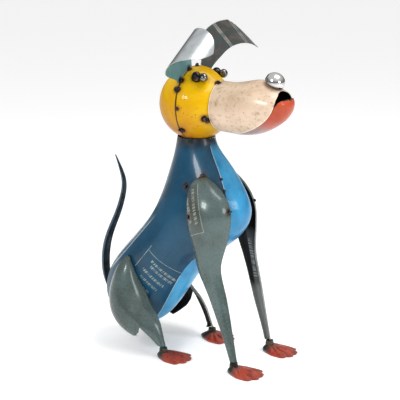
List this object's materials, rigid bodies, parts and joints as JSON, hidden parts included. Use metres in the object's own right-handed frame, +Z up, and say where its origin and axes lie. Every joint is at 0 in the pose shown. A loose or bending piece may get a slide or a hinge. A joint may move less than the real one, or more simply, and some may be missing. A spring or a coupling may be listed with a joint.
{
  "type": "scrap metal dog sculpture",
  "caption": "Sitting dog welded from cut and hammered painted drum sheet, with a yellow ball head, cream muzzle, curled ears and red toed paws.",
  "frame": {"origin": "on the floor plane under the middle of the dog's bounding box", "axes": "+Z up, +X the way the dog faces, -Y its right side"},
  "size_m": [0.4912, 0.2666, 0.7264],
  "materials": {
    "blue_paint": "worn gloss drum paint with fine scratches and pale printed rules",
    "bright_blue_paint": "brighter gloss blue drum paint",
    "worn_blue_paint": "blue drum paint mottled with pale and rusty wear",
    "yellow_paint": "gloss yellow with burnt halos, chips and orange shading",
    "cream_paint": "mottled cream and tan, satin gloss",
    "red_paint": "orange red gloss, burnt dark at the welds",
    "gray_green_paint": "gray green drum paint, semi gloss, dark bare inner side",
    "polished_steel": "polished steel",
    "burnt_steel": "dark heat-scaled steel",
    "galvanized_sheet": "bare galvanized outer side, teal painted inner side",
    "dark_painted_sheet": "dark brown gray painted inner side with pale cross stripes, bare outer side"
  },
  "bodies": {
    "root": {"torso_side_right": "blue_paint", "torso_side_left": "blue_paint", "chest_belly_strip": "bright_blue_paint", "spine_strip": "worn_blue_paint", "head_back": "yellow_paint", "head_front": "yellow_paint", "muzzle": "cream_paint", "lower_jaw": "red_paint", "nose": "polished_steel", "eye_stub_right": "burnt_steel", "eye_stub_left": "burnt_steel", "eye_ball_right": "polished_steel", "eye_ball_left": "polished_steel", "ear_right": "galvanized_sheet", "ear_left": "dark_painted_sheet", "front_leg_right": "gray_green_paint", "front_leg_left": "gray_green_paint", "hind_leg_right": "gray_green_paint", "hind_leg_left": "gray_green_paint", "front_ankle_right": "burnt_steel", "front_ankle_left": "burnt_steel", "hind_ankle_right": "burnt_steel", "hind_ankle_left": "burnt_steel", "front_paw_right": "red_paint", "front_paw_left": "red_paint", "hind_paw_right": "red_paint", "hind_paw_left": "red_paint", "tail": "blue_paint"}
  },
  "joints": []
}
